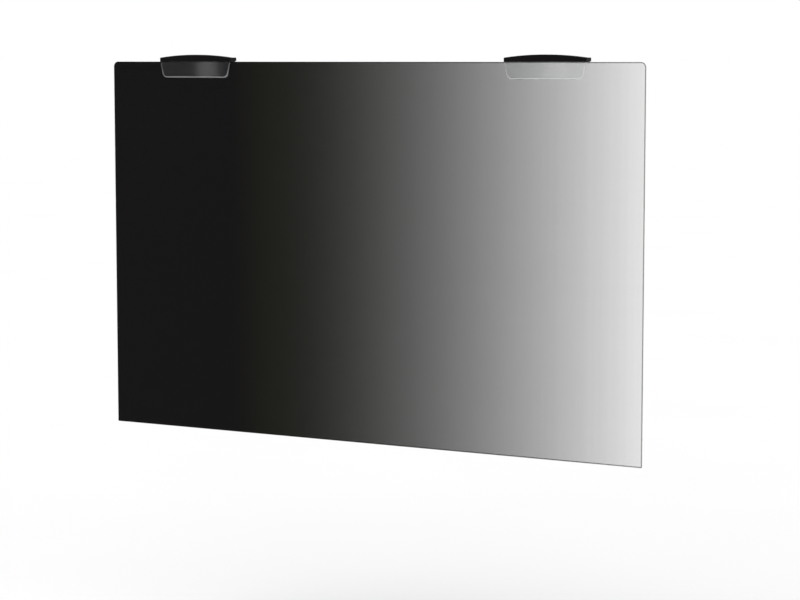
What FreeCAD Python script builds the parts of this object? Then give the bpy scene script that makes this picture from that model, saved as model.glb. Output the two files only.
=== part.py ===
import FreeCAD, Part
import math
import os

# Privacy filter that hangs by magnets: a thin dark sheet, two clips bonded to its top edge,
# and the two base strips that the clips hold on to.
# Millimetres. The origin is the centre of the sheet's back face. Seen from the front,
# +X is to the right and +Z is up. +Y points away from the viewer.

# The sheet
sheet_width = 530.0
sheet_height = 335.0
sheet_thickness = 0.8
sheet_top_radius = 4.5
sheet_bottom_radius = 0.8

# Where the clips sit, and how wide they are
clip_width = 76.0
clip_to_sheet_side = 52.5

# The clear tab in front of the sheet: its front bows forward, and its rim slopes back to the sheet
tab_drop = 14.5
tab_end_thickness = 1.0
tab_front_bow = 1.0
tab_side_lean = 3.2
tab_corner_radius = 4.0
tab_rim_land = 0.4
tab_rim_slope = 0.8

# The clear tape that bonds the tab to the sheet
tape_thickness = 0.2
tape_inset = 1.4

# The tongue on the tab's top, which is glued into a slot in the cap
tongue_height = 2.0
tongue_step = 0.2
tongue_end_inset = 4.0
tongue_clearance = 0.1

# The block magnets, in pockets that open on the contact face
magnet_count = 3
magnet_length = 12.0
magnet_height = 2.0
magnet_depth = 2.0
magnet_chamfer = 0.2
magnet_end_margin = 8.0
pocket_clearance = 0.05

# The black cap that stands on the sheet's top edge, highest and deepest at its middle
cap_end_roof = 0.5
cap_rise = 2.6
cap_proud = 0.3
cap_web = 0.95
cap_front_radius = 0.7
cap_end_bevel = 0.4

# The base strip behind the cap, and the foam pad under it
strip_wall = 0.6
strip_depth = 6.0
strip_end_inset = 0.5
strip_edge_radius = 0.5
pad_thickness = 0.5
pad_inset = 0.6
pad_corner_radius = 1.0

# Places that follow from the sizes above. Heights are measured from the sheet's top edge
clip_half = clip_width / 2
clip_offset = sheet_width / 2 - clip_to_sheet_side - clip_half
tab_back = -sheet_thickness - tape_thickness
tab_land_front = tab_back - tab_rim_land
tab_end_front = tab_back - tab_end_thickness
tongue_half = clip_half - tongue_end_inset
tongue_front = tab_end_front + tongue_step
pocket_depth = magnet_depth + pocket_clearance
contact_face = cap_web + pocket_depth
strip_height = magnet_height + 2 * strip_wall
strip_half = clip_half - strip_end_inset
magnet_middle = pad_thickness + strip_height / 2
magnet_span = clip_width - 2 * magnet_end_margin - magnet_length
magnet_pitch = magnet_span / max(magnet_count - 1, 1)
cap_end_height = magnet_middle + magnet_height / 2 + cap_end_roof
cap_end_front = tab_end_front - cap_proud

# Lengths closer than this are the same. Stock of this size is left beyond faces that are cut later
SAME = 1e-6
SPARE = 0.2
SPARE_SWING = 1.0


def at(x, y, z):
    return FreeCAD.Vector(x, y, z)


def line(start, end):
    return Part.LineSegment(start, end).toShape()


def arc(start, middle, end):
    return Part.Arc(start, middle, end).toShape()


def block(low, high):
    size = high - low
    return Part.makeBox(size.x, size.y, size.z, low)


def edges_where(solid, keep):
    """The edges whose box passes the test."""
    return [edge for edge in solid.Edges if keep(edge.BoundBox)]


def runs_in_depth(box):
    return box.XLength < SAME and box.ZLength < SAME


def make_sheet():
    low = -sheet_height / 2
    sheet = block(
        at(-sheet_width / 2, -sheet_thickness, low),
        at(sheet_width / 2, 0, sheet_height / 2),
    )
    upper = edges_where(sheet, lambda box: runs_in_depth(box) and box.ZMin > 0)
    sheet = sheet.makeFillet(sheet_top_radius, upper)
    lower = edges_where(sheet, lambda box: runs_in_depth(box) and box.ZMax < low + SAME)
    return sheet.makeFillet(sheet_bottom_radius, lower)


def tab_outline(depth, inset, top):
    """The tab's outline at one depth: sides that lean in and round lower corners.

    The sides and the foot are drawn in by inset, and the top edge is at the height given.
    """
    lean = math.atan2(tab_side_lean, tab_drop)
    foot = inset - tab_drop
    edge_half = clip_half - inset / math.cos(lean)
    top_half = edge_half + top * math.tan(lean)
    foot_half = edge_half + foot * math.tan(lean)
    radius = tab_corner_radius - inset
    half_turn = math.pi / 4 + lean / 2
    tangent = radius / math.tan(half_turn)
    flat_half = foot_half - tangent

    def corner(side):
        side_end = at(side * (foot_half + tangent * math.sin(lean)), depth, foot + tangent * math.cos(lean))
        round_x = flat_half + radius * math.cos(half_turn)
        round_middle = at(side * round_x, depth, foot + radius * (1 - math.sin(half_turn)))
        flat_end = at(side * flat_half, depth, foot)
        return at(side * top_half, depth, top), side_end, round_middle, flat_end

    right_top, right_side, right_round, right_flat = corner(1)
    left_top, left_side, left_round, left_flat = corner(-1)
    return Part.Wire([
        line(left_top, right_top),
        line(right_top, right_side),
        arc(right_side, right_round, right_flat),
        line(right_flat, left_flat),
        arc(left_flat, left_round, left_side),
        line(left_side, left_top),
    ])


def bowed_room():
    """The room behind the tab's bowed front, open wide behind it."""
    reach = clip_width
    low, high = -2 * tab_drop, tab_drop
    right_front = at(clip_half, tab_end_front, low)
    left_front = at(-clip_half, tab_end_front, low)
    right_back = at(clip_half, tab_end_front + reach, low)
    left_back = at(-clip_half, tab_end_front + reach, low)
    plan = Part.Wire([
        arc(left_front, at(0, tab_end_front - tab_front_bow, low), right_front),
        line(right_front, right_back),
        line(right_back, left_back),
        line(left_back, left_front),
    ])
    return Part.Face(plan).extrude(at(0, 0, high - low))


def tongue_block(clearance, root):
    """The tongue, or with a clearance its slot, reaching down by root below the sheet's top edge."""
    return block(
        at(-tongue_half - clearance, tongue_front - clearance, -root),
        at(tongue_half + clearance, tab_back + clearance, tongue_height + clearance),
    )


def make_tab():
    outer = tab_outline(tab_back, 0, 0)
    land = Part.Face(outer).extrude(at(0, -tab_rim_land, 0))
    beyond = tab_end_front - tab_front_bow - SPARE
    drawn_in = tab_rim_slope * (tab_land_front - beyond)
    sloped = Part.makeLoft(
        [tab_outline(tab_land_front, 0, 0), tab_outline(beyond, drawn_in, 0)], True, True
    )
    tab = land.fuse(sloped).common(bowed_room())
    return tab.fuse(tongue_block(0, 0)).removeSplitter().Solids[0]


def make_tape():
    outline = tab_outline(tab_back, tape_inset, -tape_inset)
    return Part.Face(outline).extrude(at(0, tape_thickness, 0))


def magnet_places():
    first = -magnet_pitch * (magnet_count - 1) / 2
    return [first + magnet_pitch * index for index in range(magnet_count)]


def magnet_block(middle, front, back, clearance):
    """The room that a magnet takes, between two depths."""
    half_length = magnet_length / 2 + clearance
    half_height = magnet_height / 2 + clearance
    return block(
        at(middle - half_length, front, magnet_middle - half_height),
        at(middle + half_length, back, magnet_middle + half_height),
    )


def make_magnet(middle, front):
    magnet = magnet_block(middle, front, front + magnet_depth, 0)
    return magnet.makeChamfer(magnet_chamfer, magnet.Edges)


def prism(points, along):
    """A straight-sided solid: the closed outline through the points, pushed along a vector."""
    return Part.Face(Part.makePolygon(points + points[:1])).extrude(along)


def cap_section(front, top):
    """The cap's section at its middle, with a round front corner and spare stock below and behind."""
    back = contact_face + SPARE
    round_start = at(0, front, top - cap_front_radius)
    round_end = at(0, front + cap_front_radius, top)
    cut_back = cap_front_radius * (1 - math.sqrt(0.5))
    round_middle = at(0, front + cut_back, top - cut_back)
    return Part.Face(Part.Wire([
        line(at(0, back, -SPARE), at(0, front, -SPARE)),
        line(at(0, front, -SPARE), round_start),
        arc(round_start, round_middle, round_end),
        line(round_end, at(0, back, top)),
        line(at(0, back, top), at(0, back, -SPARE)),
    ]))


def cap_arch():
    """The section swung about a slanted axis, so that towards the ends it falls and draws back."""
    front = cap_end_front - tab_front_bow
    top = cap_end_height + cap_rise
    fall = at(0, tab_front_bow, -cap_rise)
    radius = (clip_half ** 2 + fall.Length ** 2) / (2 * fall.Length)
    inward = fall / fall.Length
    centre = at(0, front, top) + inward * radius
    axis = at(1, 0, 0).cross(inward)
    swing = math.degrees(math.asin(clip_half / radius)) + SPARE_SWING
    first = cap_section(front, top).rotated(centre, axis, -swing)
    return first.revolve(centre, axis, 2 * swing)


def cap_trim():
    """The room that the cap is cut to: flat ends with bevelled upper and front corners."""
    high = cap_end_height + 2 * cap_rise
    upper = cap_end_height - cap_end_bevel
    upper_half = clip_half - (high - upper)
    deep = contact_face - cap_end_front + 2 * tab_front_bow
    elevation = prism([
        at(-clip_half, contact_face, 0),
        at(clip_half, contact_face, 0),
        at(clip_half, contact_face, upper),
        at(upper_half, contact_face, high),
        at(-upper_half, contact_face, high),
        at(-clip_half, contact_face, upper),
    ], at(0, -deep, 0))
    forward = cap_end_front + cap_end_bevel
    far = contact_face - deep
    far_half = clip_half - (forward - far)
    plan = prism([
        at(-clip_half, contact_face, 0),
        at(clip_half, contact_face, 0),
        at(clip_half, forward, 0),
        at(far_half, far, 0),
        at(-far_half, far, 0),
        at(-clip_half, forward, 0),
    ], at(0, 0, high))
    return elevation.common(plan)


def make_cap():
    cap = cap_arch().common(cap_trim())
    cap = cap.cut(tongue_block(tongue_clearance, tongue_height))
    pocket_floor = contact_face - pocket_depth
    for middle in magnet_places():
        cap = cap.cut(magnet_block(middle, pocket_floor, contact_face + magnet_depth, pocket_clearance))
    return cap.Solids[0]


def make_strip():
    low = pad_thickness
    back = contact_face + strip_depth
    strip = block(at(-strip_half, contact_face, low), at(strip_half, back, low + strip_height))
    outer = edges_where(
        strip, lambda box: box.ZMax > low + SAME and box.YMax > contact_face + SAME
    )
    strip = strip.makeFillet(strip_edge_radius, outer)
    pocket_floor = contact_face + pocket_depth
    for middle in magnet_places():
        strip = strip.cut(magnet_block(middle, contact_face - magnet_depth, pocket_floor, pocket_clearance))
    return strip.Solids[0]


def make_pad():
    pad = block(
        at(-strip_half + pad_inset, contact_face + pad_inset, 0),
        at(strip_half - pad_inset, contact_face + strip_depth - pad_inset, pad_thickness),
    )
    upright = edges_where(pad, lambda box: box.XLength < SAME and box.YLength < SAME)
    return pad.makeFillet(pad_corner_radius, upright)


def make_clip():
    """Every piece of one clip and its base strip, about the clip's middle on the sheet's top edge."""
    pieces = {
        "cap": make_cap(),
        "tab": make_tab(),
        "tape": make_tape(),
        "base_strip": make_strip(),
        "adhesive_pad": make_pad(),
    }
    for number, middle in enumerate(magnet_places(), start=1):
        pieces[f"cap_magnet_{number}"] = make_magnet(middle, contact_face - magnet_depth)
        pieces[f"strip_magnet_{number}"] = make_magnet(middle, contact_face)
    return pieces


def export(node, solid):
    solid.exportStep(f"parts/{node}.step")


os.makedirs("parts", exist_ok=True)
export("filter_sheet", make_sheet())
clip_pieces = make_clip()
for side, direction in (("left", -1), ("right", 1)):
    place = at(direction * clip_offset, 0, sheet_height / 2)
    for name, solid in clip_pieces.items():
        export(f"{side}_{name}", solid.translated(place))
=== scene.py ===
import math

import bmesh
import bpy
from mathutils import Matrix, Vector


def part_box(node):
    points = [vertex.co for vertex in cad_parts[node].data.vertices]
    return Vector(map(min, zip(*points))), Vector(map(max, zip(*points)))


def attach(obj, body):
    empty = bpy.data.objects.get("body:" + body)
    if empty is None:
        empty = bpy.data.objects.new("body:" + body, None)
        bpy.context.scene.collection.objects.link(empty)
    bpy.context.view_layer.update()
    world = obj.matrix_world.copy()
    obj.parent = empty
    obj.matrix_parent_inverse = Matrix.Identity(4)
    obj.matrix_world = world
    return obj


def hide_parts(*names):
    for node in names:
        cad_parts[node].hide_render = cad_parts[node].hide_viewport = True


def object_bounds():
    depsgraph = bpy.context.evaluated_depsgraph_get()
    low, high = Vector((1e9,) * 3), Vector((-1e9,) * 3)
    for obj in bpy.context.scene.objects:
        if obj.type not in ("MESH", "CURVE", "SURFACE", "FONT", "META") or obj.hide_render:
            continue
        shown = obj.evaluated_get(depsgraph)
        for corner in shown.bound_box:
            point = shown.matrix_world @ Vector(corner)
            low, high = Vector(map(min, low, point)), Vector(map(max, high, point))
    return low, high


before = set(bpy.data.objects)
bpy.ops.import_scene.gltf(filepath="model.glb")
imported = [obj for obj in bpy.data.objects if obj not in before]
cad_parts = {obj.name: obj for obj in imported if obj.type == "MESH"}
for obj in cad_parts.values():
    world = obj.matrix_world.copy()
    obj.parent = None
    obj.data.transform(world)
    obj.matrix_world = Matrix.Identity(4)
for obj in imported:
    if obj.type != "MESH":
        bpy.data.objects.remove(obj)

# A privacy filter that hangs by magnetic clips. Metres, in the frame of the solids:
# the sheet's back lies in y = 0, +X is to the right seen from the front and +Z is up.
# The left clip's pieces are modelled, and then copied to the right.
cad_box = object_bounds()
sheet_low, sheet_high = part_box("filter_sheet")
tab_low, tab_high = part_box("left_tab")

# A millimetre, and how far apart two places may be and still be the same
MM = 0.001
SAME = 0.002 * MM

# Axes by their number, and what there is more than one of
DEPTH = 1
HEIGHT = 2
SIDES = ("left", "right")
MAGNETS = (1, 2, 3)

# The sheet
sheet_top_radius = 4.5 * MM
sheet_top_steps = 10
sheet_bottom_radius = 0.8 * MM
sheet_bottom_steps = 4
sheet_edge_round = 0.12 * MM
sealed_edge_width = 0.8 * MM

# The caps, with the columns and the bow that they share with the tabs
clip_columns = 32
front_bow = 1.0 * MM
cap_rise = 2.6 * MM
cap_front_radius = 0.7 * MM
cap_front_steps = 5
cap_edge_round = 0.2 * MM

# The tabs, their tongues in the caps and the tapes behind them
tab_side_lean = 3.2 * MM
tab_corner_radius = 4.0 * MM
tab_corner_steps = 8
tab_rim_land = 0.4 * MM
tab_rim_slope_width = 0.6 * MM
tab_rim_border = 0.25 * MM
tab_edge_round = 0.1 * MM
tab_trim = 3.0 * MM
tongue_depth = 0.8 * MM
tongue_end_inset = 4.0 * MM
slot_clearance = 0.1 * MM
tape_corner_steps = 6
bond_line = 0.02 * MM

# The base strips, the magnets' pockets and the foam pads
strip_edge_radius = 0.5 * MM
strip_edge_steps = 4
strip_edge_round = 0.1 * MM
pocket_clearance = 0.05 * MM
pad_corner_radius = 1.0 * MM
pad_corner_steps = 6
pad_edge_round = 0.12 * MM

# Edges and shading of all pieces
edge_steps = 2
sharp_angle = math.radians(35)
smooth_angle = math.radians(30)
flat_face_weight = 100

# A face is square on to the front or the back if its normal reaches this far along the depth
square_on = 0.99

# The film lets this share of light through, from its dark side to its clear side
film_dark_share = 0.0008
film_clear_share = 0.77
film_fade_power = 2.66
film_fade_start = 0.242
film_band_range = (0.96, 1.04)
sealed_edge_share = 0.34

# Tones and gloss of the film, with a hint of olive where it starts to clear
film_dark_tone = (0.0034, 0.0028, 0.0031)
film_olive_tone = (0.0072, 0.0077, 0.0044)
film_olive_place = 0.1
film_clear_tone = (0.010, 0.010, 0.010)
film_roughness = (0.32, 0.44)
film_specular = 0.055
film_wave_depth = 1.5 * MM

# Black plastic
cap_tone = (0.0040, 0.0034, 0.0036)
cap_roughness = 0.42
strip_tone = (0.0045, 0.0040, 0.0041)
strip_roughness = 0.38
black_tone_spread = 0.2
black_roughness_spread = 0.06
black_specular = 0.05
mould_grain_depth = 0.03 * MM

# Clear plastic, and how much it bends light at a free face and at the bonded one
clear_tones = ((0.93, 0.94, 0.95), (0.97, 0.98, 0.98))
clear_roughness = (0.09, 0.13)
clear_bend = 1.27
bonded_bend = 1.0

# Rims with a painted highlight, and the share of light that they stop, from under the cap to the foot,
# where the painted highlight is brightest
rim_highlight_tones = ((0.82, 0.84, 0.86), (0.94, 0.95, 0.96))
rim_roughness = (0.3, 0.5)
rim_border_highlight = (0.17, 0.93)
rim_slope_highlight = (0.02, 0.12)

# Tape, and the share of light that it stops, from place to place
tape_tones = ((0.5, 0.51, 0.52), (0.6, 0.61, 0.62))
tape_roughness = 0.4
tape_cover = (0.001, 0.004)

# Nickel and foam
nickel_tones = ((0.66, 0.63, 0.58), (0.76, 0.74, 0.70))
nickel_roughness = (0.2, 0.34)
foam_tones = ((0.02, 0.02, 0.021), (0.045, 0.045, 0.047))
foam_roughness = (0.85, 1.0)
foam_specular = 0.2
foam_cell_depth = 0.08 * MM

# The camera, with its lens and sensor in millimetres
camera_place = Vector((1.0115, -1.7729, 0.1706))
camera_turn = math.radians(28.823)
camera_tilt = math.radians(-5.907)
camera_lens = 105.17
camera_sensor = 36

# The floor, the sky and the sun
floor_drop = 0.19
floor_size = 1000.0
floor_tones = ((0.94, 0.94, 0.94), (0.97, 0.97, 0.97))
floor_roughness = 0.9
sky_level = 0.64
sky_lift = 0.36
sun_level = 0.61
sun_width = math.radians(40)
sun_direction = Vector((0.45, 0.35, -1.0))

# The gloss lamps. Each shows in its tab as an upright band, at this share of the tab's width.
gloss_bands = {"left": 0.68, "right": 0.64}
gloss_lamp_distance = 2.0
gloss_lamp_width = 0.14
gloss_lamp_height = 0.1
gloss_lamp_power = 0.26


def near(value, other):
    """Whether two places along an axis are the same."""
    return abs(value - other) < SAME


def spot(point):
    """A point's place in whole steps, by which it can be found again."""
    return tuple(round(value / SAME) for value in point)


def middle_and_half(low, high):
    """The middle of a box along X, and half its width."""
    return (low.x + high.x) / 2, (high.x - low.x) / 2


def with_room(low, high, clearance):
    """A box with a clearance all round it."""
    room = Vector((clearance, clearance, clearance))
    return low - room, high + room


def take(piece):
    """Select one piece alone, as the one that tools act on."""
    bpy.ops.object.select_all(action="DESELECT")
    piece.select_set(True)
    bpy.context.view_layer.objects.active = piece


def name_piece(piece, name):
    """Name a piece and its mesh."""
    piece.name = name
    piece.data.name = name


def start_box(name, low, high, *finishes):
    """A box between two corners, with its place in its mesh and its finishes."""
    bpy.ops.object.select_all(action="DESELECT")
    bpy.ops.mesh.primitive_cube_add(size=1, location=(low + high) / 2, scale=high - low)
    bpy.ops.object.transform_apply(location=True, rotation=True, scale=True)
    piece = bpy.context.object
    name_piece(piece, name)
    for finish in finishes:
        piece.data.materials.append(finish)
    return piece


def copy_to_right(piece, node):
    """A copy of a left piece, with its own mesh, where the right one's solid is."""
    take(piece)
    bpy.ops.object.duplicate()
    copy = bpy.context.object
    copy.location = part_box(f"right_{node}")[0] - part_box(f"left_{node}")[0]
    bpy.ops.object.transform_apply(location=True, rotation=True, scale=True)
    name_piece(copy, piece.name.replace("left", "right"))
    return copy


def open_up(piece):
    """Put a piece in edit mode."""
    take(piece)
    bpy.ops.object.mode_set(mode="EDIT")


def close_up():
    """Leave edit mode."""
    bpy.ops.object.mode_set(mode="OBJECT")


def pick(piece, kind, wanted):
    """Select only those points, edges or faces of an open piece that pass the test."""
    bpy.ops.mesh.select_mode(type=kind)
    bpy.ops.mesh.select_all(action="DESELECT")
    mesh = bmesh.from_edit_mesh(piece.data)
    parts = {"VERT": mesh.verts, "EDGE": mesh.edges, "FACE": mesh.faces}[kind]
    for part in [part for part in parts if wanted(part)]:
        part.select_set(True)
    bmesh.update_edit_mesh(piece.data)


def pick_points(piece, wanted):
    """Select the points at places that pass the test."""
    pick(piece, "VERT", lambda point: wanted(point.co))


def pick_edges(piece, wanted):
    """Select the edges of which both ends pass the test."""
    pick(piece, "EDGE", lambda edge: all(wanted(end.co) for end in edge.verts))


def pick_runs(piece, axis, wanted):
    """Select the edges that run along one axis at places that pass the test."""
    def runs(edge):
        first, second = (end.co for end in edge.verts)
        across = first - second
        across[axis] = 0
        return not near(first[axis], second[axis]) and across.length < SAME and wanted(first)

    pick(piece, "EDGE", runs)


def paint(piece, finish, wanted):
    """Give those faces of an open piece that pass the test one of the piece's finishes."""
    number = piece.data.materials.find(finish.name)
    for face in bmesh.from_edit_mesh(piece.data).faces:
        if wanted(face):
            face.material_index = number


def round_edges(radius, steps=edge_steps):
    """Round the selected edges of an open piece."""
    bpy.ops.mesh.bevel(offset=radius, segments=steps, affect="EDGES")


def cut_columns(start, end):
    """Cut the open piece into columns along X."""
    for step in range(1, clip_columns):
        bpy.ops.mesh.select_all(action="SELECT")
        place = start + (end - start) * step / clip_columns
        bpy.ops.mesh.bisect(plane_co=(place, 0, 0), plane_no=(1, 0, 0))


def column_places(piece, wanted):
    """Every place along X where an open piece has points that pass the test."""
    mesh = bmesh.from_edit_mesh(piece.data)
    places = []
    for place in sorted(point.co.x for point in mesh.verts if wanted(point.co)):
        if not places or place - places[-1] > SAME:
            places.append(place)
    return places


def draw_columns(piece, wanted, middle, half, reach):
    """Draw the points that pass the test along reach, more and more towards the two ends."""
    for place in column_places(piece, wanted):
        pick_points(piece, lambda point: near(point.x, place) and wanted(point))
        bpy.ops.transform.translate(value=reach * ((place - middle) / half) ** 2)


def apply_modifier(piece, kind, **settings):
    """Give a piece a modifier with its settings, and apply it."""
    modifier = piece.modifiers.new(kind.lower(), kind)
    for name, value in settings.items():
        setattr(modifier, name, value)
    bpy.context.view_layer.objects.active = piece
    bpy.ops.object.modifier_apply(modifier=modifier.name)


def soften_edges(piece, width):
    """Break every sharp edge of a piece with a narrow round."""
    apply_modifier(
        piece, "BEVEL", width=width, segments=edge_steps, limit_method="ANGLE", angle_limit=sharp_angle
    )


def combine(piece, operation, low, high):
    """Cut a box out of a piece, or add one to it."""
    tool = start_box("tool", low, high)
    apply_modifier(piece, "BOOLEAN", operation=operation, object=tool, solver="EXACT")
    bpy.data.objects.remove(tool)


def cut_pockets(piece, magnet):
    """Cut a pocket for each of the numbered magnets of one name."""
    for number in MAGNETS:
        combine(piece, "DIFFERENCE", *with_room(*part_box(f"{magnet}_{number}"), pocket_clearance))


def smooth(piece):
    """Shade rounds smooth and keep flat faces flat."""
    take(piece)
    bpy.ops.object.shade_smooth_by_angle(angle=smooth_angle)
    apply_modifier(piece, "WEIGHTED_NORMAL", weight=flat_face_weight, keep_sharp=True)


def make_sheet(film, sealed):
    """The louvred sheet, with a sealed line along its edges."""
    sheet = start_box("louvred_sheet", sheet_low, sheet_high, film, sealed)
    open_up(sheet)
    pick_runs(sheet, DEPTH, lambda point: near(point.z, sheet_high.z))
    round_edges(sheet_top_radius, sheet_top_steps)
    pick_runs(sheet, DEPTH, lambda point: near(point.z, sheet_low.z))
    round_edges(sheet_bottom_radius, sheet_bottom_steps)
    for depth in (sheet_low.y, sheet_high.y):
        pick_edges(sheet, lambda point: near(point.y, depth))
        round_edges(sheet_edge_round)
    pick(sheet, "FACE", lambda face: abs(face.normal.y) > square_on)
    bpy.ops.mesh.inset(thickness=sealed_edge_width)
    paint(sheet, sealed, lambda face: not face.select)
    close_up()
    return sheet


def side_lean(height):
    """How far a tab's leaning side draws in over a height."""
    return tab_side_lean * height / (sheet_high.z - tab_low.z)


def shape_foot(plate, low, high, radius, steps):
    """Lean the sides of an open plate as the tab's sides lean, and round the corners of its foot."""
    middle, half = middle_and_half(low, high)
    foot_half = half - side_lean(high.z - low.z)
    pick_points(plate, lambda point: near(point.z, low.z))
    bpy.ops.transform.resize(value=(foot_half / half, 1, 1), center_override=(middle, 0, 0))
    pick_runs(plate, DEPTH, lambda point: near(point.z, low.z))
    round_edges(radius, steps)


def slope_rim(tab, clear, border, slope, bonded):
    """Slope the rim of the open tab back to a narrow land, with a border round the clear front."""
    def in_front(face):
        return face.normal.y < -square_on

    pick(tab, "FACE", in_front)
    bpy.ops.mesh.region_to_loop()
    outline = {spot(point.co) for point in bmesh.from_edit_mesh(tab.data).verts if point.select}
    pick(tab, "FACE", in_front)
    bpy.ops.mesh.inset(thickness=tab_rim_slope_width)
    paint(tab, slope, lambda face: not face.select)
    paint(tab, bonded, lambda face: face.normal.y > square_on)
    paint(tab, border, lambda face: face.select)
    bpy.ops.mesh.inset(thickness=tab_rim_border)
    paint(tab, clear, lambda face: face.select)
    pick_points(tab, lambda point: spot(point) in outline)
    bpy.ops.transform.resize(value=(1, 0, 1), center_override=(0, tab_high.y - tab_rim_land, 0))


def tongue_box():
    """The tongue on the tab's top, with its root in the tab."""
    low = Vector((tab_low.x + tongue_end_inset, tab_high.y - tongue_depth, sheet_high.z - tongue_depth))
    high = Vector((tab_high.x - tongue_end_inset, tab_high.y, tab_high.z))
    return low, high


def make_tab(clear, border, slope, bonded):
    """A clear tab with a bowed front, modelled too tall and trimmed at the sheet's top edge."""
    middle, half = middle_and_half(tab_low, tab_high)
    bond = Vector((0, bond_line, 0))
    # The sides keep their lean over the stretch that is trimmed off
    spare = side_lean(tab_trim)
    low = Vector((tab_low.x - spare, tab_low.y, tab_low.z))
    high = Vector((tab_high.x + spare, tab_high.y, sheet_high.z + tab_trim)) - bond
    tab = start_box("left_clear_tab", low, high, clear, border, slope, bonded)
    open_up(tab)
    shape_foot(tab, low, high, tab_corner_radius, tab_corner_steps)
    cut_columns(low.x, high.x)
    draw_columns(tab, lambda point: near(point.y, low.y), middle, half, Vector((0, front_bow, 0)))
    slope_rim(tab, clear, border, slope, bonded)
    bpy.ops.mesh.select_all(action="SELECT")
    bpy.ops.mesh.bisect(
        plane_co=(0, 0, sheet_high.z), plane_no=(0, 0, 1), use_fill=True, clear_outer=True
    )
    close_up()
    soften_edges(tab, tab_edge_round)
    # The tongue's back stays a hair in front of the tab's back, so that the union is clean
    tongue_low, tongue_high = tongue_box()
    combine(tab, "UNION", tongue_low - bond, tongue_high - bond - Vector((0, SAME, 0)))
    smooth(tab)
    return tab


def make_tape(clear):
    """The tape behind a tab, with the tab's outline and room on both sides for the bond."""
    low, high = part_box("left_tape")
    bond = Vector((0, bond_line, 0))
    tape = start_box("left_bonding_tape", low + bond, high - bond, clear)
    inset = low.z - tab_low.z
    open_up(tape)
    shape_foot(tape, low, high, tab_corner_radius - inset, tape_corner_steps)
    close_up()
    return tape


def make_cap(black):
    """A cap with an arched top and a bowed front, pockets for its magnets and a slot for the tongue."""
    low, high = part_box("left_cap")
    middle, half = middle_and_half(low, high)
    cap = start_box("left_arched_cap", low, high, black)
    open_up(cap)
    cut_columns(low.x, high.x)
    draw_columns(cap, lambda point: near(point.y, low.y), middle, half, Vector((0, front_bow, 0)))
    draw_columns(cap, lambda point: near(point.z, high.z), middle, half, Vector((0, 0, -cap_rise)))
    half_depth = (low.y + high.y) / 2
    half_height_at_ends = (low.z + high.z - cap_rise) / 2
    pick_edges(cap, lambda point: point.y < half_depth and point.z > half_height_at_ends)
    round_edges(cap_front_radius, cap_front_steps)
    close_up()
    soften_edges(cap, cap_edge_round)
    cut_pockets(cap, "left_cap_magnet")
    combine(cap, "DIFFERENCE", *with_room(*tongue_box(), slot_clearance))
    smooth(cap)
    return cap


def make_strip(black):
    """A base strip, rounded at its top and back but square in front, with pockets for its magnets."""
    low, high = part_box("left_base_strip")

    def behind_the_front(edge):
        reaches_top = any(near(end.co.z, high.z) for end in edge.verts)
        return reaches_top and any(end.co.y > low.y + SAME for end in edge.verts)

    strip = start_box("left_moulded_strip", low, high, black)
    open_up(strip)
    pick(strip, "EDGE", behind_the_front)
    round_edges(strip_edge_radius, strip_edge_steps)
    close_up()
    soften_edges(strip, strip_edge_round)
    cut_pockets(strip, "left_strip_magnet")
    smooth(strip)
    return strip


def make_pad(foam):
    """A die-cut pad of foam, with round corners and soft edges."""
    low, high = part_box("left_adhesive_pad")
    pad = start_box("left_foam_pad", low, high, foam)
    open_up(pad)
    pick_runs(pad, HEIGHT, lambda point: True)
    round_edges(pad_corner_radius, pad_corner_steps)
    close_up()
    soften_edges(pad, pad_edge_round)
    smooth(pad)
    return pad


def new_material(name):
    """A material, its node tree and the shader that it starts with."""
    material = bpy.data.materials.new(name)
    material.use_nodes = True
    return material, material.node_tree, material.node_tree.nodes["Principled BSDF"]


def feed(socket, value):
    """Set a socket to a constant, or link another node's output to it."""
    if isinstance(value, bpy.types.NodeSocket):
        socket.id_data.links.new(value, socket)
    else:
        socket.default_value = value


def add_node(tree, kind, feeds=None, **settings):
    """A node with its settings, and what feeds its inputs."""
    made = tree.nodes.new(kind)
    for name, value in settings.items():
        setattr(made, name, value)
    for name, value in (feeds or {}).items():
        feed(made.inputs[name], value)
    return made


def reckon(tree, operation, *values):
    """One step of arithmetic."""
    made = add_node(tree, "ShaderNodeMath", operation=operation)
    for socket, value in zip(made.inputs, values):
        feed(socket, value)
    return made.outputs[0]


def spread(tree, value, low, high, start=0.0, end=1.0):
    """A value that runs from start to end, spread from low to high instead."""
    feeds = {"Value": value, "From Min": start, "From Max": end, "To Min": low, "To Max": high}
    return add_node(tree, "ShaderNodeMapRange", feeds).outputs[0]


def object_place(tree):
    """The place on the object, in metres."""
    return add_node(tree, "ShaderNodeTexCoord").outputs["Object"]


def place_along(tree, axis):
    """The place along one of the object's axes."""
    return add_node(tree, "ShaderNodeSeparateXYZ", {"Vector": object_place(tree)}).outputs[axis]


def grain(tree, per_metre, detail=2.0, stretch=(1, 1, 1)):
    """Noise with a number of grains to the metre, which may be stretched along the axes."""
    mapped = add_node(tree, "ShaderNodeMapping", {"Vector": object_place(tree), "Scale": stretch})
    feeds = {"Vector": mapped.outputs[0], "Scale": per_metre, "Detail": detail}
    return add_node(tree, "ShaderNodeTexNoise", feeds).outputs["Fac"]


def tint(shader, share, first, second):
    """Colour a shader between two tones."""
    feeds = {"Factor": share, "A": (*first, 1), "B": (*second, 1)}
    mixed = add_node(shader.id_data, "ShaderNodeMix", feeds, data_type="RGBA")
    feed(shader.inputs["Base Color"], mixed.outputs["Result"])


def roughen(shader, share, low, high):
    """Let a shader's roughness vary between two values."""
    feed(shader.inputs["Roughness"], spread(shader.id_data, share, low, high))


def emboss(shader, height, depth, strength):
    """Give a shader relief from a height of 0 to 1, as deep as given."""
    feeds = {"Height": height, "Distance": depth, "Strength": strength}
    bump = add_node(shader.id_data, "ShaderNodeBump", feeds)
    feed(shader.inputs["Normal"], bump.outputs[0])


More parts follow.
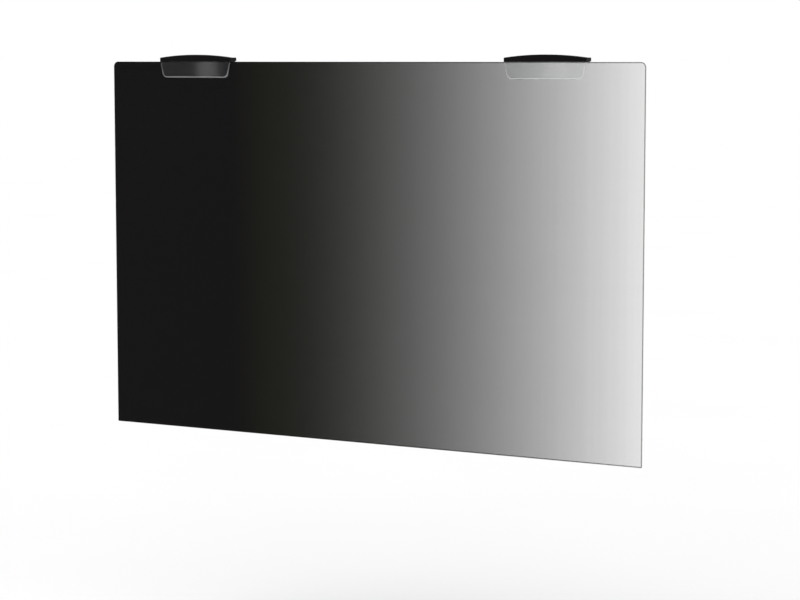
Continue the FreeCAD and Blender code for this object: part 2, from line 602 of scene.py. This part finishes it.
def louvred_film(name, share_kept):
    """Dark louvre film that clears towards its right side, with faint upright bands."""
    material, tree, shader = new_material(name)
    fade_start = sheet_low.x + (sheet_high.x - sheet_low.x) * film_fade_start
    fade = spread(tree, place_along(tree, "X"), 0, 1, fade_start, sheet_high.x)
    cleared = reckon(tree, "POWER", fade, film_fade_power)
    through = spread(tree, cleared, film_dark_share, film_clear_share)
    bands = grain(tree, per_metre=160, detail=3.0, stretch=(1, 1, 0.002))
    through = reckon(tree, "MULTIPLY", through, spread(tree, bands, *film_band_range))
    through = reckon(tree, "MULTIPLY", through, share_kept)
    # Light goes through the front and the back, so each lets the square root through
    one_face = reckon(tree, "SQRT", through)
    feed(shader.inputs["Alpha"], reckon(tree, "SUBTRACT", 1.0, one_face))
    ramp = add_node(tree, "ShaderNodeValToRGB", {"Fac": fade})
    tones = ramp.color_ramp.elements
    tones[0].color = (*film_dark_tone, 1)
    tones[1].color = (*film_clear_tone, 1)
    tones.new(film_olive_place).color = (*film_olive_tone, 1)
    feed(shader.inputs["Base Color"], ramp.outputs["Color"])
    roughen(shader, grain(tree, per_metre=14), *film_roughness)
    shader.inputs["Specular IOR Level"].default_value = film_specular
    emboss(shader, grain(tree, per_metre=5, detail=1.0), film_wave_depth, strength=0.25)
    return material


def moulded_black(name, tone, roughness):
    """Black plastic with the fine texture of its mould."""
    material, tree, shader = new_material(name)
    darker = [value * (1 - black_tone_spread) for value in tone]
    lighter = [value * (1 + black_tone_spread) for value in tone]
    tint(shader, grain(tree, per_metre=900, detail=3.0), darker, lighter)
    glossier = roughness - black_roughness_spread
    duller = roughness + black_roughness_spread
    roughen(shader, grain(tree, per_metre=120), glossier, duller)
    shader.inputs["Specular IOR Level"].default_value = black_specular
    emboss(shader, grain(tree, per_metre=3500, detail=1.0), mould_grain_depth, strength=0.5)
    return material


def clear_plastic(name, bend):
    """Clear moulded plastic with a hint of flow in its gloss, which bends light by as much as given."""
    material, tree, shader = new_material(name)
    tint(shader, grain(tree, per_metre=60), *clear_tones)
    roughen(shader, grain(tree, per_metre=90), *clear_roughness)
    shader.inputs["Transmission Weight"].default_value = 1.0
    shader.inputs["IOR"].default_value = bend
    return material


def painted_rim_highlight(name, cap_cover, foot_cover):
    """A stretch of a tab's rim with a painted highlight, a whitish veil that is stronger at its foot
    than under the cap.
    """
    material, tree, shader = new_material(name)
    tint(shader, grain(tree, per_metre=400), *rim_highlight_tones)
    roughen(shader, grain(tree, per_metre=900), *rim_roughness)
    # The painted highlight grows from under the cap to the foot
    height = place_along(tree, "Z")
    feed(shader.inputs["Alpha"], spread(tree, height, cap_cover, foot_cover, sheet_high.z, tab_low.z))
    return material


def bonding_tape():
    """Clear tape, slightly cloudy."""
    material, tree, shader = new_material("bonding_tape")
    cloud = grain(tree, per_metre=250, detail=4.0)
    tint(shader, cloud, *tape_tones)
    feed(shader.inputs["Alpha"], spread(tree, cloud, *tape_cover))
    shader.inputs["Roughness"].default_value = tape_roughness
    return material


def nickel_plate():
    """Bright nickel plating on the magnets."""
    material, tree, shader = new_material("nickel_plate")
    tint(shader, grain(tree, per_metre=700, detail=3.0), *nickel_tones)
    roughen(shader, grain(tree, per_metre=1500), *nickel_roughness)
    shader.inputs["Metallic"].default_value = 1.0
    return material


def pad_foam():
    """Dark foam with fine cells."""
    material, tree, shader = new_material("pad_foam")
    cells = grain(tree, per_metre=4000)
    tint(shader, cells, *foam_tones)
    roughen(shader, cells, *foam_roughness)
    shader.inputs["Specular IOR Level"].default_value = foam_specular
    emboss(shader, cells, foam_cell_depth, strength=0.8)
    return material


def dress(piece, slot, *nodes):
    """Let a new piece move with the part and stand for its solids."""
    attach(piece, "root")
    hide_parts(*nodes)


def dress_pair(left_piece, slot, node):
    """Dress a left piece, and a copy of it for the right."""
    right_piece = copy_to_right(left_piece, node)
    dress(left_piece, slot, f"left_{node}")
    dress(right_piece, slot, f"right_{node}")
    return left_piece, right_piece


def finish_node(name, material):
    """Give a solid that stays in place its finish."""
    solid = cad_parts[name]
    for slot in solid.material_slots:
        slot.material = material


def make_object():
    """Every piece of the filter, in its finish."""
    film = louvred_film("louvred_film", 1.0)
    sealed = louvred_film("sealed_edge", sealed_edge_share)
    cap_black = moulded_black("cap_black", cap_tone, cap_roughness)
    strip_black = moulded_black("strip_black", strip_tone, strip_roughness)
    clear = clear_plastic("clear_plastic", clear_bend)
    bonded = clear_plastic("bonded_face", bonded_bend)
    # The border and the slope of each tab's rim carry a painted highlight
    border = painted_rim_highlight("rim_border", *rim_border_highlight)
    slope = painted_rim_highlight("rim_slope", *rim_slope_highlight)
    tape = bonding_tape()
    nickel = nickel_plate()
    foam = pad_foam()
    dress(make_sheet(film, sealed), "filter_film", "filter_sheet")
    dress_pair(make_cap(cap_black), "cap_black", "cap")
    dress_pair(make_tab(clear, border, slope, bonded), "tab_clear", "tab")
    dress_pair(make_tape(tape), "tape_clear", "tape")
    dress_pair(make_strip(strip_black), "strip_black", "base_strip")
    for pad in dress_pair(make_pad(foam), "pad_foam", "adhesive_pad"):
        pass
    for side in SIDES:
        for number in MAGNETS:
            finish_node(f"{side}_cap_magnet_{number}", nickel)
            finish_node(f"{side}_strip_magnet_{number}", nickel)


def make_floor():
    """A pale floor some way below the sheet."""
    bpy.ops.object.select_all(action="DESELECT")
    height = cad_box[0][2] - floor_drop
    bpy.ops.mesh.primitive_plane_add(size=floor_size, location=(0, 0, height))
    floor = bpy.context.object
    floor.name = "floor"
    material, tree, shader = new_material("pale_floor")
    tint(shader, grain(tree, per_metre=3), *floor_tones)
    shader.inputs["Roughness"].default_value = floor_roughness
    shader.inputs["Specular IOR Level"].default_value = 0.0
    floor.data.materials.append(material)


def hang_light(light, direction):
    """Add a light to the studio, shining in a direction."""
    holder = bpy.data.objects.new(light.name, light)
    holder.rotation_euler = direction.to_track_quat("-Z", "Y").to_euler()
    bpy.context.scene.collection.objects.link(holder)
    return holder


def make_gloss_lamp(side, band):
    """A narrow lamp that the bowed front of one tab mirrors towards the camera."""
    low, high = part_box(f"{side}_tab")
    middle, half = middle_and_half(low, high)
    off_middle = 2 * band - 1
    place = Vector((middle + off_middle * half, low.y, (low.z + high.z) / 2))
    lean = math.atan(2 * front_bow / half * off_middle)
    normal = Vector((math.sin(lean), -math.cos(lean), 0))
    sight = (place - camera_place).normalized()
    mirrored = sight - 2 * sight.dot(normal) * normal
    lamp = bpy.data.lights.new(f"{side}_gloss", "AREA")
    lamp.shape = "RECTANGLE"
    lamp.size = gloss_lamp_width
    lamp.size_y = gloss_lamp_height
    lamp.energy = gloss_lamp_power
    holder = hang_light(lamp, -mirrored)
    holder.location = place + gloss_lamp_distance * mirrored
    holder.visible_camera = False


def make_sun():
    """A wide sun from above, for a soft shadow."""
    sun = bpy.data.lights.new("sun", "SUN")
    sun.energy = sun_level
    sun.angle = sun_width
    hang_light(sun, sun_direction)


def make_world():
    """Soft white light from all round, brighter from above, that looks plain white where it shows."""
    world = bpy.data.worlds.new("studio")
    world.use_nodes = True
    bpy.context.scene.world = world
    tree = world.node_tree
    path = add_node(tree, "ShaderNodeLightPath")
    seen = reckon(tree, "MAXIMUM", path.outputs["Is Camera Ray"], path.outputs["Is Glossy Ray"])
    seen = reckon(tree, "MAXIMUM", seen, path.outputs["Is Transmission Ray"])
    direction = add_node(tree, "ShaderNodeTexCoord").outputs["Generated"]
    height = add_node(tree, "ShaderNodeSeparateXYZ", {"Vector": direction}).outputs["Z"]
    sky = reckon(tree, "MULTIPLY_ADD", height, sky_lift, sky_level)
    background = tree.nodes["Background"]
    background.inputs["Color"].default_value = (1, 1, 1, 1)
    feed(background.inputs["Strength"], reckon(tree, "MAXIMUM", sky, seen))


def make_camera():
    """The camera, which looks level before its tilt and along +Y before its turn."""
    camera = bpy.data.cameras.new("camera")
    camera.lens = camera_lens
    camera.sensor_width = camera_sensor
    holder = bpy.data.objects.new("camera", camera)
    holder.location = camera_place
    holder.rotation_euler = (math.pi / 2 + camera_tilt, 0, camera_turn)
    bpy.context.scene.collection.objects.link(holder)
    bpy.context.scene.camera = holder


make_object()
make_floor()
make_world()
make_sun()
for lamp_side in SIDES:
    make_gloss_lamp(lamp_side, gloss_bands[lamp_side])
make_camera()
bpy.context.scene.view_settings.view_transform = "Standard"
